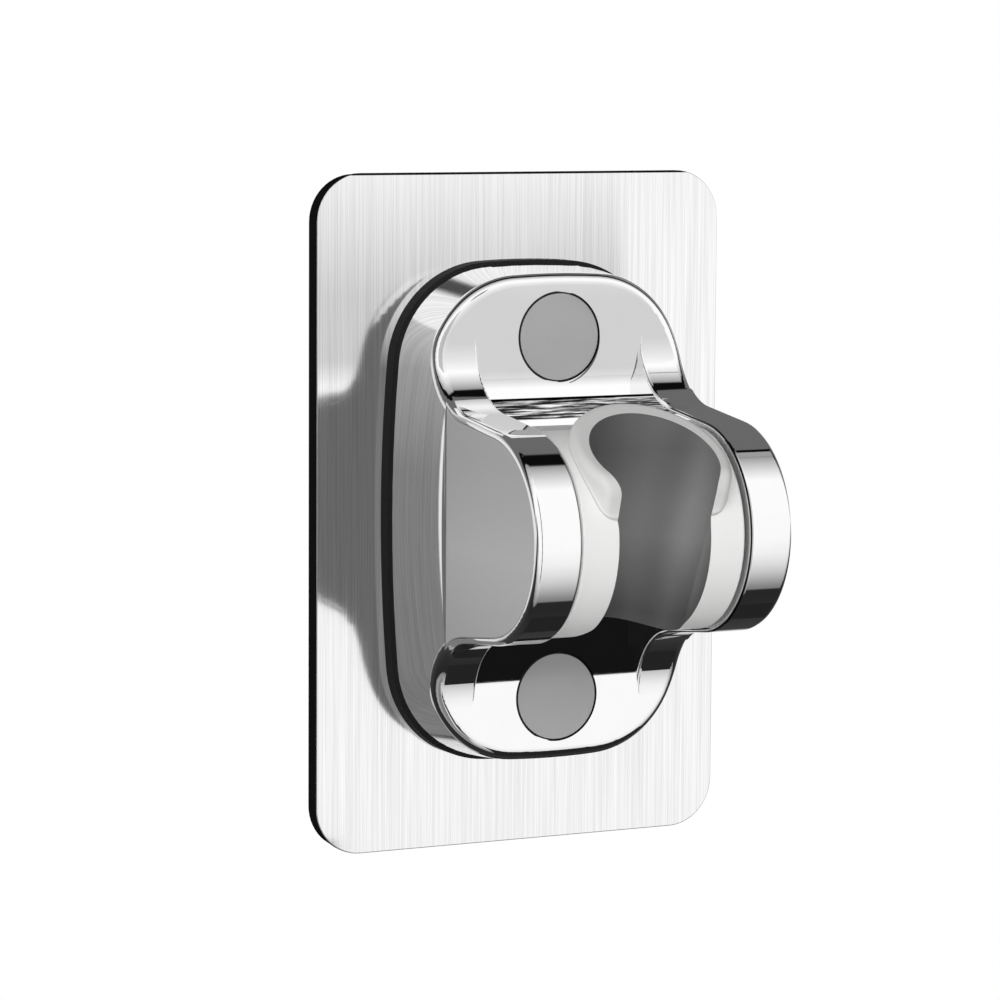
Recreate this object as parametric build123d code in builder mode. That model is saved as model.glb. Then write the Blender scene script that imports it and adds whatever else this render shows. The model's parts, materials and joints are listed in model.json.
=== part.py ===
"""Wall holder for a hand shower: a stuck-on steel plate, a hollow chromed body and a turning cradle.

Millimetres, +Z up. The wall is the plane Y = 0 and the holder stands out from it towards -Y.
"""

import math
import os

from build123d import *

os.makedirs("parts", exist_ok=True)

# Wall pad and steel plate
plate_width = 80.0
plate_height = 121.0
plate_corner = 8.6
plate_edge_round = 0.2
pad_thickness = 3.0
pad_inset = 0.25
plate_thickness = 1.0

# Rubber seal and the outline of the body's foot
seal_thickness = 2.7
seal_lip = 0.5
foot_half_width = 27.0
foot_half_height = 44.4
foot_side_bow = 350.0
foot_end_bow = 180.0
foot_corner = 18.5
body_draft = 6.0

# Front of the body, measured from the wall
panel_depth = 19.0
side_step_depth = 24.0
rim_round = 2.1
shell_wall = 2.4

# Cheeks that carry the cradle
axis_depth = 41.0
nose_radius = 18.5
run_slope = 7.0
hollow_radius = 13.0
cheek_inner = 16.1
cheek_outer = 24.5
cheek_edge_round = 1.15
cheek_inner_round = 0.6
cheek_floor = 2.5
cheek_root = 4.0
cheek_root_width = 5.0
cheek_overlap = 2.0

# Side covers let into the cheeks
cover_border = 1.25
cover_gap = 0.12
cover_thickness = 1.6
cover_edge_round = 0.3
cover_ledge = 1.3
cover_skirt = 1.4
cover_skirt_wall = 1.2

# Fixing studs, nuts, washers and the two round caps
stud_spacing = 64.0
stud_radius = 2.0
stud_flange_radius = 2.75
stud_flange_thickness = 0.8
stud_length = 12.4
stud_hole_gap = 0.25
seal_hole_radius = 3.2
boss_radius = 9.2
boss_floor = 3.8
washer_radius = 4.5
washer_thickness = 0.8
nut_across_flats = 7.0
nut_thickness = 3.2
nut_bore_gap = 0.02
wrench_radius = 6.3
cap_radius = 7.9
cap_gap = 0.15
cap_thickness = 1.6
cap_edge = 0.25
cap_plug_wall = 1.2
cap_plug_length = 2.2

# Cradle drum, its tapered socket and the raised lip round the socket
drum_radius = 17.7
drum_half_length = 15.5
drum_edge_round = 0.5
cradle_tilt = 20.0
socket_offset = 8.0
socket_radius = 10.6
socket_taper = 0.045
slot_width = 17.5
socket_side_round = 4.0
lip_plane_tilt = 31.6
lip_plane_height = 19.5
lip_radius = 14.2
lip_back_shift = 1.5
lip_front = 6.9
lip_low = 7.8
lip_underside = 4.5
lip_front_round = 3.7
lip_outer_round = 1.6
pocket_inner = 8.2
pocket_outer = 15.4
pocket_depth = 2.0

# Pivot: shoulder screw, bush, friction washer and spring washer on each side
shoulder_radius = 3.0
bush_gap = 0.05
bush_radius = 4.0
bush_seat_gap = 0.02
friction_inner_gap = 0.3
friction_radius = 7.0
spring_radius = 5.4
spring_inner_gap = 0.25
spring_sheet = 0.6
spring_rise = 0.3
screw_head_radius = 5.2
screw_head_height = 2.2
screw_socket_flats = 3.0
screw_socket_depth = 1.4
thread_radius = 2.0
thread_length = 5.5
thread_gap = 0.02
thread_end_gap = 0.5

# Depths and heights that follow from the sizes above
pad_width = plate_width - 2 * pad_inset
pad_height = plate_height - 2 * pad_inset
plate_front = pad_thickness + plate_thickness
foot_depth = plate_front + seal_thickness
panel_y = -panel_depth
axis_y = -axis_depth
stud_height = stud_spacing / 2
boss_floor_depth = foot_depth + boss_floor
washer_front = boss_floor_depth + washer_thickness
cap_back = panel_depth - cap_thickness
cover_seat = cheek_outer - cover_thickness
cheek_floor_face = cheek_inner + cheek_floor
spring_front = cheek_floor_face + spring_sheet + spring_rise
slope = math.radians(run_slope)
tilt = math.radians(cradle_tilt)
lip_tilt = math.radians(lip_plane_tilt)

# Points of the cheek's side outline, upper half, in wall depth and height
nose_join_y = axis_y - nose_radius * math.sin(slope)
nose_join_z = nose_radius * math.cos(slope)
hollow_centre_y = panel_y - hollow_radius
hollow_join_y = hollow_centre_y + hollow_radius * math.sin(slope)
hollow_join_z = nose_join_z + (hollow_join_y - nose_join_y) * math.tan(slope)
hollow_centre_z = hollow_join_z + hollow_radius * math.cos(slope)
hollow_half_turn = (math.pi / 2 - slope) / 2
hollow_mid_y = hollow_centre_y + hollow_radius * math.cos(hollow_half_turn)
hollow_mid_z = hollow_centre_z - hollow_radius * math.sin(hollow_half_turn)
cheek_back_y = panel_y + cheek_root

# Corners of the foot outline before rounding
foot_corner_x = foot_half_width - foot_half_height**2 / (2 * foot_side_bow)
foot_corner_z = foot_half_height - foot_half_width**2 / (2 * foot_end_bow)

# The cradle's own frame: local z along the socket, local y towards the wall
socket_along = (0, -math.sin(tilt), math.cos(tilt))
socket_ahead = (0, -math.cos(tilt), -math.sin(tilt))
socket_origin = (0, axis_y + socket_offset * socket_ahead[1], socket_offset * socket_ahead[2])
cradle_frame = Plane(origin=socket_origin, x_dir=(1, 0, 0), z_dir=socket_along)
lip_offset = socket_offset - lip_back_shift
lip_origin = (0, axis_y + lip_offset * socket_ahead[1], lip_offset * socket_ahead[2])
lip_section_plane = Plane(origin=lip_origin, x_dir=(1, 0, 0), z_dir=socket_ahead)
lip_normal = (0, -math.sin(lip_tilt), math.cos(lip_tilt))
lip_plane = Plane(
    origin=(0, axis_y + lip_plane_height * lip_normal[1], lip_plane_height * lip_normal[2]),
    x_dir=(1, 0, 0),
    z_dir=lip_normal,
)
drum_plane = Plane(origin=(0, axis_y, 0), x_dir=(0, 1, 0), z_dir=(1, 0, 0))
stud_plane = Plane(origin=(0, 0, stud_height), x_dir=(1, 0, 0), z_dir=(0, -1, 0))
cut_reach = 40.0
core_reach = 1.5 * drum_radius
hair = 0.01

# Outline of the foot, shared by the body and its seal
with BuildSketch(Plane.XZ.offset(foot_depth)) as foot_outline:
    with BuildLine():
        for way in (1, -1):
            start = (way * foot_corner_x, way * foot_corner_z)
            turn = (-start[0], start[1])
            ThreePointArc(start, (0, way * foot_half_height), turn)
            ThreePointArc(turn, (-way * foot_half_width, 0), (turn[0], -turn[1]))
    make_face()
    fillet(foot_outline.vertices(), foot_corner)

# Outline of the hollow inside the foot
inner_half_width = foot_half_width - shell_wall
inner_half_height = foot_half_height - shell_wall
inner_corner_x = foot_corner_x - shell_wall
inner_corner_z = foot_corner_z - shell_wall
boss_reach = inner_half_height + shell_wall / 4 - stud_height
inner_depth = panel_depth - shell_wall - foot_depth
with BuildSketch(Plane.XZ.offset(foot_depth)) as inner_outline:
    with BuildLine():
        for way in (1, -1):
            start = (way * inner_corner_x, way * inner_corner_z)
            turn = (-start[0], start[1])
            ThreePointArc(start, (0, way * inner_half_height), turn)
            ThreePointArc(turn, (-way * inner_half_width, 0), (turn[0], -turn[1]))
    make_face()
    fillet(inner_outline.vertices(), foot_corner - shell_wall)

# Side outline of a cheek: hollow, sloping run, round nose and the same again below
with BuildSketch(Plane.YZ.offset(cheek_inner)) as cheek_outline:
    with BuildLine():
        ThreePointArc(
            (panel_y, hollow_centre_z),
            (hollow_mid_y, hollow_mid_z),
            (hollow_join_y, hollow_join_z),
        )
        Line((hollow_join_y, hollow_join_z), (nose_join_y, nose_join_z))
        ThreePointArc((nose_join_y, nose_join_z), (axis_y - nose_radius, 0), (nose_join_y, -nose_join_z))
        Line((nose_join_y, -nose_join_z), (hollow_join_y, -hollow_join_z))
        ThreePointArc(
            (hollow_join_y, -hollow_join_z),
            (hollow_mid_y, -hollow_mid_z),
            (panel_y, -hollow_centre_z),
        )
        Polyline(
            (panel_y, -hollow_centre_z),
            (cheek_back_y, -hollow_centre_z),
            (cheek_back_y, hollow_centre_z),
            (panel_y, hollow_centre_z),
        )
    make_face()

# Adhesive foam pad
with BuildPart() as adhesive_pad:
    with BuildSketch(Plane.XZ):
        RectangleRounded(pad_width, pad_height, plate_corner - pad_inset)
    extrude(amount=pad_thickness)
adhesive_pad.part.label = "adhesive_pad"
export_step(adhesive_pad.part, "parts/adhesive_pad.step")

# Brushed steel plate
with BuildPart() as steel_plate:
    with BuildSketch(Plane.XZ.offset(pad_thickness)):
        RectangleRounded(plate_width, plate_height, plate_corner)
    extrude(amount=plate_thickness)
    fillet(steel_plate.faces().sort_by(Axis.Y)[0].edges(), plate_edge_round)
steel_plate.part.label = "steel_plate"
export_step(steel_plate.part, "parts/steel_plate.step")

# Threaded studs welded to the plate
with BuildPart() as upper_stud:
    with BuildSketch(stud_plane.offset(plate_front)):
        Circle(stud_flange_radius)
    extrude(amount=stud_flange_thickness)
    with BuildSketch(stud_plane.offset(plate_front)):
        Circle(stud_radius)
    extrude(amount=stud_length)
    chamfer(upper_stud.faces().sort_by(Axis.Y)[0].edges(), stud_radius / 5)
upper_stud.part.label = "upper_stud"
export_step(upper_stud.part, "parts/upper_stud.step")

with BuildPart() as lower_stud:
    mirror(upper_stud.part, about=Plane.XY)
lower_stud.part.label = "lower_stud"
export_step(lower_stud.part, "parts/lower_stud.step")

# Rubber seal between plate and body
seal_corner_x = foot_corner_x + seal_lip
seal_corner_z = foot_corner_z + seal_lip
seal_half_width = foot_half_width + seal_lip
seal_half_height = foot_half_height + seal_lip
with BuildPart() as base_seal:
    with BuildSketch(Plane.XZ.offset(plate_front)) as seal_outline:
        with BuildLine():
            for way in (1, -1):
                start = (way * seal_corner_x, way * seal_corner_z)
                turn = (-start[0], start[1])
                ThreePointArc(start, (0, way * seal_half_height), turn)
                ThreePointArc(turn, (-way * seal_half_width, 0), (turn[0], -turn[1]))
        make_face()
        fillet(seal_outline.vertices(), foot_corner + seal_lip)
        with Locations((0, stud_height), (0, -stud_height)):
            Circle(seal_hole_radius, mode=Mode.SUBTRACT)
    extrude(amount=seal_thickness)
base_seal.part.label = "base_seal"
export_step(base_seal.part, "parts/base_seal.step")

# One cheek as a solid block with its rounded edges, right hand side
with BuildPart() as cheek_block:
    extrude(cheek_outline.sketch, amount=cheek_outer - cheek_inner)
    outer_face = cheek_block.faces().sort_by(Axis.X)[-1]
    fillet(outer_face.edges().filter_by(lambda e: e.center().Y < panel_y - hair), cheek_edge_round)
    inner_face = cheek_block.faces().sort_by(Axis.X)[0]
    fillet(inner_face.edges().filter_by(lambda e: e.center().Y < panel_y - hair), cheek_inner_round)
    with BuildSketch(Plane.XY.offset(-cut_reach)):
        with Locations((cheek_inner + cheek_root_width, -side_step_depth)):
            Rectangle(cut_reach, cut_reach, align=(Align.MIN, Align.MIN))
    extrude(amount=2 * cut_reach, mode=Mode.SUBTRACT)

# Cover seat, the hollow behind it and the cover's own outlines, in the side view
cheek_face = cheek_outline.sketch.face()
step_rectangle = Pos(-side_step_depth - cut_reach, 0) * Rectangle(2 * cut_reach, 4 * cut_reach)
ahead_of_step = Plane.YZ.offset(cheek_inner) * step_rectangle
ahead_of_ledge = Pos(0, -cover_ledge, 0) * ahead_of_step
cover_opening = offset(cheek_face, -cover_border) & ahead_of_step
cover_hollow = offset(cheek_face, -(cover_border + cover_ledge)) & ahead_of_ledge
cover_blank = offset(cover_opening.face(), -cover_gap)
skirt_blank = offset(cover_hollow.face(), -cover_gap)
skirt_hole = offset(cover_hollow.face(), -(cover_gap + cover_skirt_wall))
right_cover_opening = Pos(cover_seat - cheek_inner, 0, 0) * cover_opening
right_cover_hollow = Pos(cheek_floor, 0, 0) * cover_hollow
left_cover_opening = Pos(-cover_seat - cheek_inner, 0, 0) * cover_opening
left_cover_hollow = Pos(-cheek_floor_face - cheek_inner, 0, 0) * cover_hollow
cover_blank = Pos(cover_seat - cheek_inner, 0, 0) * cover_blank
skirt_blank = Pos(cover_seat - cheek_inner, 0, 0) * skirt_blank
skirt_hole = Pos(cover_seat - cheek_inner, 0, 0) * skirt_hole

# Chromed body: drafted hollow foot, flat front panel, two cheeks
with BuildPart() as body_shell:
    extrude(foot_outline.sketch, amount=side_step_depth - foot_depth, taper=body_draft)
    with BuildSketch(Plane.YZ):
        with BuildLine():
            Polyline(
                (hollow_join_y, hollow_join_z),
                (nose_join_y, nose_join_z),
                (nose_join_y, 2 * foot_half_height),
                (panel_y, 2 * foot_half_height),
                (panel_y, hollow_centre_z),
            )
            ThreePointArc(
                (panel_y, hollow_centre_z),
                (hollow_mid_y, hollow_mid_z),
                (hollow_join_y, hollow_join_z),
            )
        make_face()
        mirror(about=Plane.XZ)
    extrude(amount=2 * foot_half_width, both=True, mode=Mode.SUBTRACT)
    rim_edges = body_shell.edges().filter_by(GeomType.LINE, reverse=True)
    rim_edges = rim_edges.filter_by(lambda e: e.bounding_box().max.Y < panel_y + hair)
    fillet(rim_edges.filter_by(lambda e: abs(e.center().Z) > hollow_join_z), rim_round)
    with BuildSketch(Plane.XZ.offset(panel_depth)):
        Rectangle(2 * (cheek_inner + cheek_overlap), 3 * foot_half_height)
    extrude(amount=cut_reach, mode=Mode.SUBTRACT)
    add(cheek_block.part)
    mirror(cheek_block.part, about=Plane.YZ)
    extrude(inner_outline.sketch, amount=inner_depth, taper=body_draft, mode=Mode.SUBTRACT)
    with BuildSketch(Plane.XZ.offset(foot_depth)):
        with Locations((0, stud_height), (0, -stud_height)):
            Circle(boss_radius)
        with Locations((0, stud_height + boss_reach / 2), (0, -stud_height - boss_reach / 2)):
            Rectangle(2 * boss_radius, boss_reach)
    extrude(amount=panel_depth - shell_wall / 2 - foot_depth)
    with BuildSketch(Plane.XZ.offset(foot_depth)):
        with Locations((0, stud_height), (0, -stud_height)):
            Circle(stud_radius + stud_hole_gap)
    extrude(amount=panel_depth, mode=Mode.SUBTRACT)
    with BuildSketch(Plane.XZ.offset(boss_floor_depth)):
        with Locations((0, stud_height), (0, -stud_height)):
            Circle(wrench_radius)
    extrude(amount=panel_depth, mode=Mode.SUBTRACT)
    with BuildSketch(Plane.XZ.offset(cap_back)):
        with Locations((0, stud_height), (0, -stud_height)):
            Circle(cap_radius + cap_gap)
    extrude(amount=panel_depth, mode=Mode.SUBTRACT)
    extrude(right_cover_opening, amount=cut_reach, mode=Mode.SUBTRACT)
    extrude(right_cover_hollow, amount=cheek_outer - cheek_floor_face, mode=Mode.SUBTRACT)
    extrude(left_cover_opening, amount=-cut_reach, mode=Mode.SUBTRACT)
    extrude(left_cover_hollow, amount=-(cheek_outer - cheek_floor_face), mode=Mode.SUBTRACT)
    with BuildSketch(drum_plane):
        Circle(bush_radius)
    extrude(amount=cheek_outer, both=True, mode=Mode.SUBTRACT)
body_shell.part.label = "body_shell"
export_step(body_shell.part, "parts/body_shell.step")

# Side covers that hide the pivot screws
with BuildPart() as right_side_cover:
    extrude(cover_blank, amount=cover_thickness)
    fillet(right_side_cover.faces().sort_by(Axis.X)[-1].edges(), cover_edge_round)
    extrude(skirt_blank, amount=-cover_skirt)
    extrude(skirt_hole, amount=-cover_skirt, mode=Mode.SUBTRACT)
right_side_cover.part.label = "right_side_cover"
export_step(right_side_cover.part, "parts/right_side_cover.step")

with BuildPart() as left_side_cover:
    mirror(right_side_cover.part, about=Plane.YZ)
left_side_cover.part.label = "left_side_cover"
export_step(left_side_cover.part, "parts/left_side_cover.step")

# Flat washers and nuts on the studs
with BuildPart() as upper_washer:
    with BuildSketch(stud_plane.offset(boss_floor_depth)):
        Circle(washer_radius)
        Circle(stud_radius + stud_hole_gap, mode=Mode.SUBTRACT)
    extrude(amount=washer_thickness)
upper_washer.part.label = "upper_washer"
export_step(upper_washer.part, "parts/upper_washer.step")

with BuildPart() as lower_washer:
    mirror(upper_washer.part, about=Plane.XY)
lower_washer.part.label = "lower_washer"
export_step(lower_washer.part, "parts/lower_washer.step")

with BuildPart() as upper_nut:
    with BuildSketch(stud_plane.offset(washer_front)):
        RegularPolygon(nut_across_flats / 2, 6, major_radius=False)
        Circle(stud_radius + nut_bore_gap, mode=Mode.SUBTRACT)
    extrude(amount=nut_thickness)
upper_nut.part.label = "upper_nut"
export_step(upper_nut.part, "parts/upper_nut.step")

with BuildPart() as lower_nut:
    mirror(upper_nut.part, about=Plane.XY)
lower_nut.part.label = "lower_nut"
export_step(lower_nut.part, "parts/lower_nut.step")

# Round caps over the nuts, each a disc with a plug ring behind
with BuildPart() as upper_cap:
    with BuildSketch(stud_plane.offset(cap_back)):
        Circle(cap_radius)
    extrude(amount=cap_thickness)
    chamfer(upper_cap.faces().sort_by(Axis.Y)[0].edges(), cap_edge)
    with BuildSketch(stud_plane.offset(cap_back)):
        Circle(wrench_radius - cap_gap)
        Circle(wrench_radius - cap_gap - cap_plug_wall, mode=Mode.SUBTRACT)
    extrude(amount=-cap_plug_length)
upper_cap.part.label = "upper_cap"
export_step(upper_cap.part, "parts/upper_cap.step")

with BuildPart() as lower_cap:
    mirror(upper_cap.part, about=Plane.XY)
lower_cap.part.label = "lower_cap"
export_step(lower_cap.part, "parts/lower_cap.step")

# Raised lip round the mouth of the socket, cut by its sloping plane and open at the front
with BuildPart() as lip_ring:
    with BuildSketch(lip_section_plane) as lip_section:
        with Locations((0, lip_low)):
            Rectangle(lip_radius, cut_reach, align=(Align.MIN, Align.MIN))
        fillet(lip_section.vertices().group_by(Axis.X)[-1].sort_by(Axis.Y)[0], lip_underside)
    revolve(axis=Axis(lip_origin, socket_along))
    with BuildSketch(lip_plane):
        Rectangle(2 * cut_reach, 2 * cut_reach)
    extrude(amount=cut_reach, mode=Mode.SUBTRACT)
    with BuildSketch(cradle_frame.offset(-cut_reach)):
        with Locations((0, -lip_front - cut_reach / 2)):
            Rectangle(2 * cut_reach, cut_reach)
    extrude(amount=2 * cut_reach, mode=Mode.SUBTRACT)
    fillet(lip_ring.edges().filter_by(Axis.X).sort_by(Axis.Z)[-1], lip_front_round)
    shoulder = lip_ring.edges().filter_by(lambda e: e.geom_type not in (GeomType.LINE, GeomType.CIRCLE))
    fillet(shoulder, lip_outer_round)

# Space inside the cradle: a tapered socket that runs smoothly into the front slot
with BuildPart() as socket_core:
    with Locations(cradle_frame.location):
        Cone(
            socket_radius - socket_taper * core_reach,
            socket_radius + socket_taper * core_reach,
            2 * core_reach,
        )
    with BuildSketch(cradle_frame.offset(-core_reach)):
        with Locations((0, -cut_reach / 2)):
            Rectangle(slot_width, cut_reach)
    extrude(amount=2 * core_reach)
    ridges = socket_core.edges().filter_by(lambda e: e.geom_type not in (GeomType.LINE, GeomType.CIRCLE))
    fillet(ridges, socket_side_round)

# Cradle drum with its tapered socket, slot and raised lip
with BuildPart() as cradle_drum:
    with BuildSketch(drum_plane):
        Circle(drum_radius)
    extrude(amount=drum_half_length, both=True)
    fillet(cradle_drum.edges().filter_by(GeomType.CIRCLE), drum_edge_round)
    add(lip_ring.part)
    add(socket_core.part, mode=Mode.SUBTRACT)
    with BuildSketch(drum_plane.offset(drum_half_length)):
        Circle(pocket_outer)
        Circle(pocket_inner, mode=Mode.SUBTRACT)
    extrude(amount=-pocket_depth, mode=Mode.SUBTRACT)
    with BuildSketch(drum_plane.offset(-drum_half_length)):
        Circle(pocket_outer)
        Circle(pocket_inner, mode=Mode.SUBTRACT)
    extrude(amount=pocket_depth, mode=Mode.SUBTRACT)
    with BuildSketch(drum_plane.offset(drum_half_length)):
        Circle(thread_radius + thread_gap)
    extrude(amount=-(thread_length + thread_end_gap), mode=Mode.SUBTRACT)
    with BuildSketch(drum_plane.offset(-drum_half_length)):
        Circle(thread_radius + thread_gap)
    extrude(amount=thread_length + thread_end_gap, mode=Mode.SUBTRACT)
cradle_drum.part.label = "cradle_drum"
export_step(cradle_drum.part, "parts/cradle_drum.step")

# Pivot bushes pressed into the cheeks
with BuildPart() as right_bush:
    with BuildSketch(drum_plane.offset(cheek_inner)):
        Circle(bush_radius - bush_seat_gap)
        Circle(shoulder_radius + bush_gap, mode=Mode.SUBTRACT)
    extrude(amount=cheek_floor)
right_bush.part.label = "right_bush"
export_step(right_bush.part, "parts/right_bush.step")

with BuildPart() as left_bush:
    mirror(right_bush.part, about=Plane.YZ)
left_bush.part.label = "left_bush"
export_step(left_bush.part, "parts/left_bush.step")

# Friction washers between drum and cheeks
with BuildPart() as right_friction_washer:
    with BuildSketch(drum_plane.offset(drum_half_length)):
        Circle(friction_radius)
        Circle(shoulder_radius + friction_inner_gap, mode=Mode.SUBTRACT)
    extrude(amount=cheek_inner - drum_half_length)
right_friction_washer.part.label = "right_friction_washer"
export_step(right_friction_washer.part, "parts/right_friction_washer.step")

with BuildPart() as left_friction_washer:
    mirror(right_friction_washer.part, about=Plane.YZ)
left_friction_washer.part.label = "left_friction_washer"
export_step(left_friction_washer.part, "parts/left_friction_washer.step")

# Dished spring washers under the screw heads
with BuildPart() as right_spring_washer:
    with BuildSketch(Plane(origin=(0, axis_y, 0), x_dir=(1, 0, 0), z_dir=(0, 0, 1))):
        with BuildLine():
            Polyline(
                (cheek_floor_face + spring_rise, shoulder_radius + spring_inner_gap),
                (spring_front, shoulder_radius + spring_inner_gap),
                (cheek_floor_face + spring_sheet, spring_radius),
                (cheek_floor_face, spring_radius),
                (cheek_floor_face + spring_rise, shoulder_radius + spring_inner_gap),
            )
        make_face()
    revolve(axis=Axis((0, axis_y, 0), (1, 0, 0)))
right_spring_washer.part.label = "right_spring_washer"
export_step(right_spring_washer.part, "parts/right_spring_washer.step")

with BuildPart() as left_spring_washer:
    mirror(right_spring_washer.part, about=Plane.YZ)
left_spring_washer.part.label = "left_spring_washer"
export_step(left_spring_washer.part, "parts/left_spring_washer.step")

# Shoulder screws the drum turns on
with BuildPart() as right_pivot_screw:
    with BuildSketch(drum_plane.offset(spring_front)):
        Circle(screw_head_radius)
    extrude(amount=screw_head_height)
    with BuildSketch(drum_plane.offset(drum_half_length)):
        Circle(shoulder_radius)
    extrude(amount=spring_front - drum_half_length)
    with BuildSketch(drum_plane.offset(drum_half_length)):
        Circle(thread_radius)
    extrude(amount=-thread_length)
    with BuildSketch(drum_plane.offset(spring_front + screw_head_height)):
        RegularPolygon(screw_socket_flats / 2, 6, major_radius=False)
    extrude(amount=-screw_socket_depth, mode=Mode.SUBTRACT)
right_pivot_screw.part.label = "right_pivot_screw"
export_step(right_pivot_screw.part, "parts/right_pivot_screw.step")

with BuildPart() as left_pivot_screw:
    mirror(right_pivot_screw.part, about=Plane.YZ)
left_pivot_screw.part.label = "left_pivot_screw"
export_step(left_pivot_screw.part, "parts/left_pivot_screw.step")
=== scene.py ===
"""Looks of the hand shower holder: finishes, camera, studio light and a pale floor."""

import json
import math

import bpy
from mathutils import Matrix, Vector


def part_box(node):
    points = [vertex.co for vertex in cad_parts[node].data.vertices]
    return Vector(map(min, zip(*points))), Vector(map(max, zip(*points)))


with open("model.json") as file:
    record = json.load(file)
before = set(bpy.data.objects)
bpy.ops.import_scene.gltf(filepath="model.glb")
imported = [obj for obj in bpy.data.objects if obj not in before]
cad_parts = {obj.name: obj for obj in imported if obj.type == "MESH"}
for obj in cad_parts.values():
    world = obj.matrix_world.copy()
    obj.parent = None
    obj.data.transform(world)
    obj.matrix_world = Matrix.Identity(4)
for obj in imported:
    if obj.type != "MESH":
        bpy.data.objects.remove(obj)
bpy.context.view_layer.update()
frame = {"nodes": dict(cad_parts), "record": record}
bpy.ops.object.select_all(action="DESELECT")

# Camera, fitted to the photograph
camera_azimuth = math.radians(-26.396)
camera_elevation = math.radians(6.3598)
camera_roll = math.radians(0.3518)
camera_distance = 0.7431225
camera_target = Vector((-0.0020179, 0, 0.0012285))
camera_lens = 148.038
sensor_width = 36.0
nearest_seen = 0.01

# Places on the cradle, in metres. Pairs and fours are where painted shade and painted light fade in, and out
# again
axis_y = -0.041
cradle_tilt = math.radians(20)
drum_radius = 0.0177
socket_offset = 0.008
socket_radius = 0.0106
socket_taper = 0.045
socket_foot = -0.018
socket_height = 0.036
socket_front = (-0.0075, -0.002)
slot_half_width = 0.00875
slot_front = (0.005, 0.0095)
side_round = 0.004
lip_top = (0.010, 0.016)
lip_rise = (0.0001, 0.0012)
lip_crease = (0.00003, 0.00012, 0.00012, 0.0006)

# Places on pad, plate, body and covers, in metres
pad_back = (-0.00012, -0.00004)
plate_cut = (-0.00397, -0.00393)
plate_rim = (0.06010, 0.06014)
panel_depth = 0.019
# Heights of the band of painted shade and painted streaky reflection behind the drum, and of its painted
# dark shadow line
shade_band_heights = (0.0174, 0.0177, 0.0213, 0.0214)
shadow_line_heights = (0.0208, 0.0210)
cheek_inner = 0.0161
# Where the painted shade along the cheeks' inner edges fades in and out
cheek_edge = (0.00006, 0.00010, 0.00030, 0.00038)
cheek_front = (0.029, 0.031)
# Width of the painted shade on each cap's bevel, and how far it fades
cap_bevel = 0.00030
cap_bevel_fade = 0.00006
# Middle and reach of the painted light across the side covers
cover_middle = -0.003
cover_reach = 0.016
# How far a mask reaches past its surface, so that no facet pokes through
mask_slack = 0.00006

# Studio strips for gloss: angle about the object's width (front 0, top 90, wall 180), and level
studio_strips = (
    (-180, 0.90), (-165, 0.80), (-150, 0.05), (-80, 0.022), (-69, 0.022), (-67.5, 0.22), (-63, 0.28),
    (-55, 0.44), (-47, 0.62), (-37, 0.80), (-25, 0.96), (-10, 1.05), (55, 1.08), (84, 0.36), (86, 0.004),
    (101, 0.004), (103, 0.15), (140, 0.15), (150, 0.35), (160, 0.70), (180, 0.90),
)
# Upright flags before the holder, for gloss: place from left (-1) to right (1), and level
studio_flags = (
    (-1.0, 0.08), (-0.93, 0.08), (-0.90, 1.0), (-0.10, 1.0),
    (-0.06, 0.06), (0.10, 0.06), (0.14, 1.0), (1.0, 1.0),
)
# Angles between which the flags fade in at their foot and out at their head
flag_foot = (-44, -36)
flag_head = (38, 50)
# Soft light: where its middle lies, the level all round and what the middle adds
soft_middle = Vector((-0.60, -0.79, -0.05)).normalized()
soft_level = 0.20
soft_peak = 3.0
# Cards that only gloss sees: name, side faced, lowest and highest corner, one level or levels by height,
# and for some the shallowest view that still sees them
studio_cards = (
    ("upper_card", "wall", (-0.028, -0.050, 0.0195), (0.045, -0.050, 0.062),
     ((0.0195, 1.0), (0.0235, 0.70), (0.036, 0.70), (0.062, 1.05))),
    ("side_card", "wall", (-0.090, -0.050, -0.0675), (-0.028, -0.050, 0.062),
     ((-0.0675, 0.23), (0.004, 0.24), (0.062, 0.62))),
    ("low_side_card", "wall", (-0.070, -0.050, -0.105), (-0.016, -0.050, -0.0675), 0.25),
    ("lower_card", "wall", (-0.004, -0.050, -0.03415), (0.042, -0.050, -0.020), 0.007),
    ("lip_card", "wall", (-0.018, -0.0225, 0.0160), (0.018, -0.0225, 0.0246),
     ((0.0160, 1.1), (0.0228, 1.1), (0.0246, 0.71))),
    ("drum_card", "wall", (-0.018, -0.0222, -0.0290), (0.018, -0.0222, -0.0160), 0.007),
    ("foot_card", "up", (-0.005, -0.0555, -0.070), (0.060, -0.024, -0.070), 0.018),
    ("under_card", "front", (-0.012, -0.0075, -0.062), (0.045, -0.0075, -0.0465), 0.01),
    ("right_card", "front", (0.020, -0.0070, 0.022), (0.060, -0.0070, 0.062), 0.15),
    ("nose_card", "down", (0.024, -0.0499, 0.045), (0.048, -0.030, 0.045), 0.15, 0.2),
    ("nose_light_card", "down", (0.024, -0.0568, 0.045), (0.048, -0.0523, 0.045), 0.36, 0.2),
)
# Turn of a card for each side it can face, and the axes of its width and height
card_turns = {
    "wall": (-math.pi / 2, 0, 0),
    "front": (math.pi / 2, 0, 0),
    "up": (0, 0, 0),
    "down": (math.pi, 0, 0),
}
card_sides = {"wall": (0, 2), "front": (0, 2), "up": (0, 1), "down": (0, 1)}
# The shallowest view that sees a card, from 0 for straight on to 1 for along its face
usual_shallow = 0.5
any_shallow = 1.0
# Wraps that only gloss sees, close round a node's sides, and levels by height
seal_wrap = ((-0.045, 0.95), (-0.036, 0.25), (0.026, 0.18), (0.036, 0.70), (0.045, 0.80))
side_wrap = ((-0.045, 0.30), (-0.036, 0.15), (0.036, 0.15), (0.045, 0.30))
wrap_growth = 1.003
wrap_merge = 0.000001
side_wrap_tilt = math.radians(1.8)
flank_limit = 0.5
left_limit = -0.3
floor_height = -1.2
floor_size = 12


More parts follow.
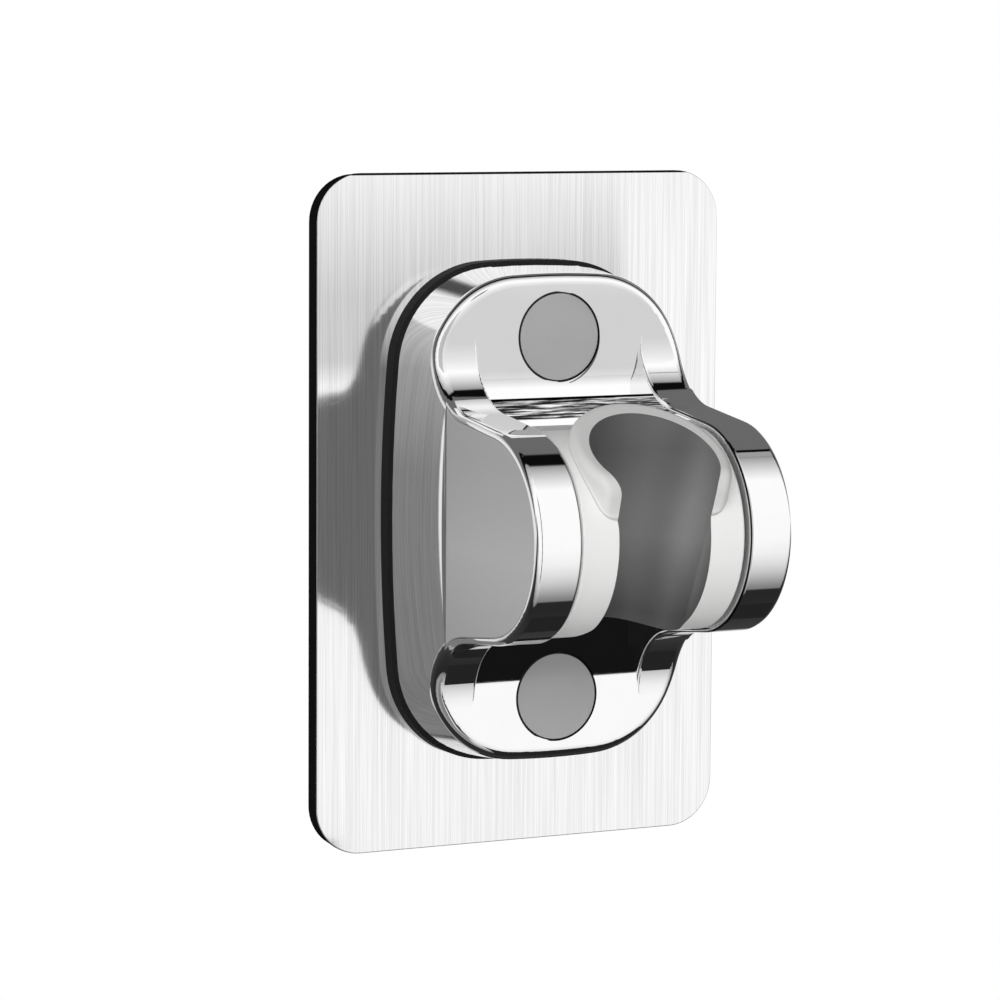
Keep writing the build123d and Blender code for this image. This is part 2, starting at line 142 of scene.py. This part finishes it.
class Shade:
    """One output of a node tree. Its operators add Math nodes, and add() makes any other node."""

    def __init__(self, tree, socket=None):
        self.tree = tree
        self.socket = socket

    def add(self, kind, settings=None, sockets=None, output=0):
        """Adds a node of the given kind: its settings first, then the values or links of its sockets."""
        node = self.tree.nodes.new(kind)
        for name, value in (settings or {}).items():
            if name == "stops":
                self.set_stops(node.color_ramp, value)
            else:
                setattr(node, name, value)
        for name, value in (sockets or {}).items():
            if isinstance(value, Shade):
                self.tree.links.new(value.socket, node.inputs[name])
            else:
                node.inputs[name].default_value = value
        return Shade(self.tree, node.outputs[output] if node.outputs else None)

    @staticmethod
    def set_stops(ramp, stops):
        """Gives a colour ramp its stops, each a place and a grey level."""
        while len(ramp.elements) < len(stops):
            ramp.elements.new(0.5)
        for element, (position, level) in zip(ramp.elements, stops):
            element.position = position
            element.color = grey(level)

    def math(self, operation, *values):
        return self.add("ShaderNodeMath", {"operation": operation}, dict(enumerate(values)))

    def __add__(self, other):
        return self.math("ADD", self, other)

    def __radd__(self, other):
        return self.math("ADD", other, self)

    def __sub__(self, other):
        return self.math("SUBTRACT", self, other)

    def __rsub__(self, other):
        return self.math("SUBTRACT", other, self)

    def __mul__(self, other):
        return self.math("MULTIPLY", self, other)

    def __rmul__(self, other):
        return self.math("MULTIPLY", other, self)

    def __truediv__(self, other):
        return self.math("DIVIDE", self, other)

    def __lt__(self, other):
        return self.math("LESS_THAN", self, other)

    def __gt__(self, other):
        return self.math("GREATER_THAN", self, other)

    def absolute(self):
        return self.math("ABSOLUTE", self)

    def root(self):
        return self.math("SQRT", self)

    def clamped(self):
        return self.add("ShaderNodeClamp", None, {"Value": self})

    def ramp(self, *stops):
        """A grey by place along the ramp. A Math node takes it as a value."""
        return self.add("ShaderNodeValToRGB", {"stops": stops}, {"Fac": self})

    def between(self, low, high):
        """Goes smoothly from 0 at low to 1 at high."""
        return self.add(
            "ShaderNodeMapRange",
            {"interpolation_type": "SMOOTHSTEP"},
            {"Value": self, "From Min": low, "From Max": high},
        )

    def within(self, low, full, fading, gone):
        """Goes smoothly from 0 at low to 1 at full, and from 1 at fading back to 0 at gone."""
        return self.between(low, full) * (1 - self.between(fading, gone))


def grey(level):
    """A grey colour."""
    return (level, level, level, 1)


def mix_colour(low, high, factor):
    """Mixes two colours by a factor between 0 and 1."""
    return factor.add(
        "ShaderNodeMix",
        {"data_type": "RGBA"},
        {"Factor": factor, 6: low, 7: high},
        output=2,
    )


def new_material(name):
    """Makes an empty material and returns it with a maker for its nodes."""
    material = bpy.data.materials.new(name)
    material.use_nodes = True
    material.node_tree.nodes.clear()
    return material, Shade(material.node_tree)


def split(vector):
    """The three values of a vector."""
    node = vector.add("ShaderNodeSeparateXYZ", None, {0: vector}).socket.node
    return [Shade(vector.tree, socket) for socket in node.outputs]


def place(shade):
    """The point of the surface in the piece's own frame, as a vector and as three values."""
    coordinates = shade.add("ShaderNodeTexCoord", output="Object")
    return coordinates, split(coordinates)


def noise(coordinates, scale, detail, roughness=0.5, stretch=(1, 1, 1)):
    """Noise, drawn out along the axes with a small stretch."""
    mapped = coordinates.add("ShaderNodeMapping", None, {"Vector": coordinates, "Scale": stretch})
    return coordinates.add(
        "ShaderNodeTexNoise",
        None,
        {"Vector": mapped, "Scale": scale, "Detail": detail, "Roughness": roughness},
    )


def bump(height, strength, distance):
    return height.add("ShaderNodeBump", None, {"Height": height, "Strength": strength, "Distance": distance})


def finish_material(shade, sockets):
    """Closes a material with one surface shader."""
    surface = shade.add("ShaderNodeBsdfPrincipled", None, sockets)
    shade.add("ShaderNodeOutputMaterial", None, {"Surface": surface})


def brushed_steel():
    """Bright steel with fine upright brush streaks. Its cut edge and top rim are black like the pad."""
    material, shade = new_material("brushed_steel")
    coordinates, (_, y, z) = place(shade)
    fine = noise(coordinates, 4200, 3, stretch=(1, 1, 0.008))
    broad = noise(coordinates, 1500, 2, stretch=(1, 1, 0.010))
    streak = fine * 0.65 + broad * 0.35
    edge = (y.between(*plate_cut) + z.between(*plate_rim)).clamped()
    steel = mix_colour((0.76, 0.76, 0.762, 1), grey(0.95), streak.between(0.3, 0.7))
    finish_material(shade, {
        "Base Color": mix_colour(steel, grey(0.008), edge),
        "Metallic": 1 - edge,
        "Roughness": edge * 0.6 + streak * 0.06 + 0.07,
        "Anisotropic": 0.5,
        "Specular IOR Level": 0.0,
        "Normal": bump(streak, 0.10, 0.00004),
    })
    return material


def polished_chrome():
    """Mirror chrome with a trace of wiping haze.

    Behind the drum a band of rougher, streaky chrome has painted dark streaky reflection and painted shade
    for its colour, under a painted dark shadow line. The inner edges of the cheeks carry painted shade of
    the narrow slit beside the drum.
    """
    material, shade = new_material("polished_chrome")
    coordinates, (x, y, z) = place(shade)
    across = x.absolute()
    haze = noise(coordinates, 160, 3)
    polished = mix_colour((0.88, 0.88, 0.885, 1), (0.93, 0.93, 0.935, 1), haze)
    # A band behind the drum, rougher and bumped, whose colour is painted dark streaky reflection and painted
    # shade under a painted dark shadow line
    in_shade_band = z.within(*shade_band_heights) * (across < cheek_inner) * (y > -panel_depth - mask_slack)
    streak = noise(coordinates, 3400, 4, roughness=0.65, stretch=(0.035, 1, 1))
    shadow_line_factor = 1 - z.between(*shadow_line_heights)
    shade_streaks = streak.ramp((0.40, 0.004), (0.48, 0.05), (0.54, 0.30), (0.62, 0.85)) * shadow_line_factor
    # Painted shade along the inner edges of the cheeks, beside the drum
    cheek_gap_shade = (across - cheek_inner).within(*cheek_edge) * (0 - y).between(*cheek_front)
    finish_material(shade, {
        "Base Color": mix_colour(mix_colour(polished, shade_streaks, in_shade_band), grey(0.02), cheek_gap_shade),
        "Metallic": 1.0,
        "Roughness": haze * 0.03 + in_shade_band * 0.08 + cheek_gap_shade * 0.3 + 0.02,
        "Normal": bump(streak * in_shade_band, 0.25, 0.0001),
    })
    return material


def satin_grey():
    """Satin grey with a fine moulded grain.

    The side covers have painted light across their middle, where they are a little lighter. The bevel round
    each cap is dark with painted shade of the slit round it.
    """
    material, shade = new_material("satin_grey")
    coordinates, (x, _, z) = place(shade)
    low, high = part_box("upper_cap")
    cap_radius = (high[0] - low[0]) / 2
    cap_height = (high[2] + low[2]) / 2
    above = z.absolute() - cap_height
    off_centre = (x * x + above * above).root()
    bevel_start = cap_radius - cap_bevel
    on_cap = off_centre < cap_radius + mask_slack
    # Painted shade on the bevel round each cap
    cap_gap_shade = off_centre.between(bevel_start, bevel_start + cap_bevel_fade) * on_cap
    grain = noise(coordinates, 5200, 3)
    cloud = noise(coordinates, 120, 2)
    cap_tone = mix_colour(grey(0.40), grey(0.45), cloud)
    # Painted light on the side covers: lighter across their middle
    off_middle = (z - cover_middle).absolute() / cover_reach
    cover_tone_and_light = mix_colour(grey(0.44), grey(0.53), (1 - off_middle).clamped())
    tone = mix_colour(cap_tone, cover_tone_and_light, x.absolute() > cheek_inner)
    finish_material(shade, {
        "Base Color": mix_colour(tone, grey(0.015), cap_gap_shade),
        "Metallic": 0.15,
        "Roughness": grain * 0.12 + 0.36 + cap_gap_shade * 0.4,
        "Normal": bump(grain, 0.12, 0.00004),
    })
    return material


def pearl_cradle():
    """Satin pearl drum, its lip greyer with painted shade. Its socket is a darker grey with painted shade
    and light, palest halfway to the slot.
    """
    material, shade = new_material("pearl_cradle")
    coordinates, (x, y, z) = place(shade)
    # Place in the socket's own frame
    fore = axis_y - y
    ahead = fore * math.cos(cradle_tilt) - z * math.sin(cradle_tilt) - socket_offset
    along = fore * math.sin(cradle_tilt) + z * math.cos(cradle_tilt)
    across = x.absolute()
    # Mask of the socket: its bore, its slot and the rounds between them
    radius = along * socket_taper + socket_radius
    in_bore = (x * x + ahead * ahead).root() < radius + mask_slack
    in_slot = (across < slot_half_width + mask_slack) * (ahead > 0.0)
    round_across = slot_half_width + side_round
    round_reach = radius + side_round
    round_ahead = (round_reach * round_reach - round_across**2).root()
    off_across = across - round_across
    off_ahead = ahead - round_ahead
    off_round = (off_across * off_across + off_ahead * off_ahead).root()
    past_bore = ahead * round_reach > radius * round_ahead
    beside_round = past_bore * (ahead < round_ahead) * (across < round_across)
    in_corner = (off_round > side_round - mask_slack) * beside_round
    inside = (in_bore + in_slot + in_corner).clamped()
    grain = noise(coordinates, 5200, 3)
    cloud = noise(coordinates, 90, 2)
    # Drum and lip, the lip greyer with painted shade and with a painted dark crease line where it rises from
    # the drum
    off_drum = (fore * fore + z * z).root() - drum_radius
    lip = along.between(*lip_top) * 0.35 + off_drum.between(*lip_rise) * 0.55
    pearl = mix_colour((0.97, 0.97, 0.958, 1), (0.72, 0.72, 0.712, 1), (cloud * 0.15 + lip).clamped())
    outer = mix_colour(pearl, (0.42, 0.42, 0.415, 1), off_drum.within(*lip_crease) * 0.7)
    # Socket wall, a darker grey with painted shade by height, darkest at its foot, painted light towards the
    # front and painted shade on the slot's walls
    height = ((z - socket_foot) / socket_height + cloud * 0.1 - 0.05).clamped()
    wall = height.ramp((0.09, 0.09), (0.25, 0.165), (0.48, 0.26), (0.62, 0.235), (0.89, 0.13))
    pale = ahead.between(*socket_front) * 0.55 + 1
    slot_wall_shade = 1 - ahead.between(*slot_front) * 0.5
    finish_material(shade, {
        "Base Color": mix_colour(outer, wall * pale * slot_wall_shade, inside),
        "Metallic": 0.0,
        "Roughness": grain * 0.1 + 0.3,
        "Normal": bump(grain, 0.08, 0.00003),
    })
    return material


def black_rubber():
    """Matte black rubber with a faint grain."""
    material, shade = new_material("black_rubber")
    coordinates, _ = place(shade)
    grain = noise(coordinates, 2400, 4)
    finish_material(shade, {
        "Base Color": mix_colour(grey(0.008), grey(0.016), grain),
        "Roughness": grain * 0.2 + 0.55,
        "Specular IOR Level": 0.12,
        "Normal": bump(grain, 0.2, 0.00005),
    })
    return material


def black_foam():
    """Closed-cell black foam. Its back, the tacky side, is greyer, with open cells and cloudy patches."""
    material, shade = new_material("black_foam")
    coordinates, (_, y, _) = place(shade)
    cells = noise(coordinates, 3600, 4)
    pores = noise(coordinates, 1100, 3, roughness=0.6)
    cloud = noise(coordinates, 70, 3)
    tacky = y.between(*pad_back)
    edge = mix_colour(grey(0.004), grey(0.012), cells)
    patches = pores.between(0.35, 0.7) * 0.6 + cloud * 0.4
    back = mix_colour((0.030, 0.030, 0.031, 1), (0.150, 0.150, 0.152, 1), patches)
    finish_material(shade, {
        "Base Color": mix_colour(edge, back, tacky),
        "Roughness": cells * 0.2 + 0.8 - tacky * 0.2,
        "Specular IOR Level": 0.0,
        "Normal": bump(cells * (1 - tacky) + pores * tacky, 0.5, 0.0001),
    })
    return material


def plain_steel():
    """Turned steel hardware."""
    material, shade = new_material("plain_steel")
    coordinates, _ = place(shade)
    turning = noise(coordinates, 1500, 3)
    finish_material(shade, {
        "Base Color": mix_colour((0.50, 0.50, 0.51, 1), (0.62, 0.62, 0.63, 1), turning),
        "Metallic": 1.0,
        "Roughness": turning * 0.15 + 0.25,
    })
    return material


def natural_acetal():
    """Off-white bearing plastic."""
    material, shade = new_material("natural_acetal")
    coordinates, _ = place(shade)
    cloud = noise(coordinates, 700, 3)
    finish_material(shade, {
        "Base Color": mix_colour((0.74, 0.74, 0.70, 1), (0.82, 0.82, 0.79, 1), cloud),
        "Roughness": cloud * 0.1 + 0.35,
    })
    return material


# Finishes by the record's material slots
finishes = {
    "pad": black_foam(),
    "plate_steel": brushed_steel(),
    "seal": black_rubber(),
    "chrome": polished_chrome(),
    "satin_cover": satin_grey(),
    "cradle": pearl_cradle(),
    "hardware": plain_steel(),
    "bearing": natural_acetal(),
}
for part in frame["record"]["subparts"]:
    piece = frame["nodes"][part["node"]]
    piece.data.materials.clear()
    piece.data.materials.append(finishes[part["material_slot"]])


def add_camera():
    """Sets the photograph's camera."""
    back = Vector((
        math.sin(camera_azimuth) * math.cos(camera_elevation),
        -math.cos(camera_azimuth) * math.cos(camera_elevation),
        math.sin(camera_elevation),
    ))
    level = (-back).cross(Vector((0, 0, 1))).normalized()
    upright = level.cross(-back)
    right = level * math.cos(camera_roll) + upright * math.sin(camera_roll)
    up = upright * math.cos(camera_roll) - level * math.sin(camera_roll)
    bpy.ops.object.camera_add()
    camera = bpy.context.object
    turn = Matrix((right, up, back)).transposed()
    camera.matrix_world = Matrix.Translation(camera_target + back * camera_distance) @ turn.to_4x4()
    camera.data.sensor_width = sensor_width
    camera.data.lens = camera_lens
    camera.data.clip_start = nearest_seen
    bpy.context.scene.camera = camera


def add_world():
    """White for the eye, long strips and upright flags for gloss, and soft light from the front left."""
    world = bpy.data.worlds.new("studio")
    bpy.context.scene.world = world
    world.use_nodes = True
    world.node_tree.nodes.clear()
    shade = Shade(world.node_tree)
    x, y, z = split(shade.add("ShaderNodeTexCoord", output="Generated"))
    turn = z.math("ARCTAN2", z, 0 - y) * (0.5 / math.pi) + 0.5
    strips = turn.ramp(*((angle / 360 + 0.5, level) for angle, level in studio_strips))
    flags = (x * 0.5 + 0.5).ramp(*((side * 0.5 + 0.5, level) for side, level in studio_flags))
    flagged = turn.within(*(angle / 360 + 0.5 for angle in flag_foot + flag_head))
    flags = mix_colour(grey(1), flags, flagged)
    gloss = strips.add(
        "ShaderNodeMix",
        {"data_type": "RGBA", "blend_type": "MULTIPLY"},
        {"Factor": 1.0, 6: strips, 7: flags},
        output=2,
    )
    facing = x * soft_middle.x + y * soft_middle.y + z * soft_middle.z
    facing = facing.math("MAXIMUM", facing, 0.0)
    soft = facing * facing * facing * soft_peak + soft_level
    seen = shade.add("ShaderNodeLightPath", output="Is Camera Ray")
    glossy = shade.add("ShaderNodeLightPath", output="Is Glossy Ray")
    colour = mix_colour(mix_colour(soft, gloss, glossy), grey(1), seen)
    background = shade.add("ShaderNodeBackground", None, {"Color": colour, "Strength": 1.0})
    shade.add("ShaderNodeOutputWorld", None, {"Surface": background})


def make_card(card, levels, shallow):
    """Makes an object a card that only gloss sees, from the side it faces and not at too shallow a view."""
    for ray in ("camera", "diffuse", "transmission", "volume_scatter", "shadow"):
        setattr(card, "visible_" + ray, False)
    material, shade = new_material(card.name)
    if isinstance(levels, tuple):
        _, (_, _, z) = place(shade)
        foot = levels[0][0]
        tall = levels[-1][0] - foot
        colour = ((z - foot) / tall).ramp(*(((height - foot) / tall, level) for height, level in levels))
    else:
        colour = grey(levels)
    glow = shade.add("ShaderNodeEmission", None, {"Color": colour})
    clear = shade.add("ShaderNodeBsdfTransparent")
    behind = shade.add("ShaderNodeNewGeometry", output="Backfacing")
    aside = shade.add("ShaderNodeLayerWeight", output="Facing") > shallow
    surface = shade.add("ShaderNodeMixShader", None, {0: (behind + aside).clamped(), 1: glow, 2: clear})
    shade.add("ShaderNodeOutputMaterial", None, {"Surface": surface})
    card.data.materials.clear()
    card.data.materials.append(material)


def add_card(name, faces, low, high, levels, shallow=usual_shallow):
    """Hangs a flat studio card by the holder."""
    bpy.ops.object.select_all(action="DESELECT")
    middle = [(a + b) / 2 for a, b in zip(low, high)]
    bpy.ops.mesh.primitive_plane_add(size=1, location=middle, rotation=card_turns[faces])
    card = bpy.context.object
    card.name = name
    wide, tall = card_sides[faces]
    card.scale = (high[wide] - low[wide], high[tall] - low[tall], 1)
    bpy.ops.object.transform_apply(location=True, rotation=True, scale=True)
    make_card(card, levels, shallow)


def add_wrap(name, nodes, levels, keeps, tilt=0.0):
    """Lays a card close round the sides of some nodes, which the plate mirrors in their stead."""
    bpy.ops.object.select_all(action="DESELECT")
    for node in nodes:
        card = bpy.data.objects.new(name, frame["nodes"][node].data.copy())
        bpy.context.collection.objects.link(card)
        card.select_set(True)
        bpy.context.view_layer.objects.active = card
    if len(nodes) > 1:
        bpy.ops.object.join()
    card = bpy.context.object
    card.scale = (wrap_growth, 1, wrap_growth)
    card.rotation_euler.x = tilt
    bpy.ops.object.transform_apply(location=False, rotation=True, scale=True)
    bpy.context.tool_settings.mesh_select_mode = (False, False, True)
    bpy.ops.object.mode_set(mode="EDIT")
    bpy.ops.mesh.select_all(action="SELECT")
    bpy.ops.mesh.remove_doubles(threshold=wrap_merge)
    bpy.ops.mesh.select_all(action="DESELECT")
    bpy.ops.object.mode_set(mode="OBJECT")
    for face in card.data.polygons:
        face.select = not keeps(face.normal)
    bpy.ops.object.mode_set(mode="EDIT")
    bpy.ops.mesh.delete(type="FACE")
    bpy.ops.object.mode_set(mode="OBJECT")
    make_card(card, levels, any_shallow)


def add_floor():
    """A pale floor well below the holder, white to the eye."""
    bpy.ops.object.select_all(action="DESELECT")
    bpy.ops.mesh.primitive_plane_add(size=floor_size, location=(0, 0, floor_height))
    floor = bpy.context.object
    floor.name = "floor"
    bpy.ops.object.transform_apply(location=True)
    floor.visible_glossy = False
    material, shade = new_material("pale_floor")
    matte = shade.add("ShaderNodeBsdfDiffuse", None, {"Color": grey(0.8)})
    white = shade.add("ShaderNodeEmission", None, {"Color": grey(1)})
    seen = shade.add("ShaderNodeLightPath", output="Is Camera Ray")
    surface = shade.add("ShaderNodeMixShader", None, {0: seen, 1: matte, 2: white})
    shade.add("ShaderNodeOutputMaterial", None, {"Surface": surface})
    floor.data.materials.append(material)


add_camera()
add_world()
add_floor()
add_wrap("seal_wrap", ["base_seal"], seal_wrap, lambda normal: abs(normal.y) < flank_limit)
add_wrap(
    "side_wrap",
    ["body_shell", "left_side_cover"],
    side_wrap,
    lambda normal: normal.x < left_limit,
    side_wrap_tilt,
)
for card in studio_cards:
    add_card(*card)

scene = bpy.context.scene
scene.view_settings.view_transform = "Standard"
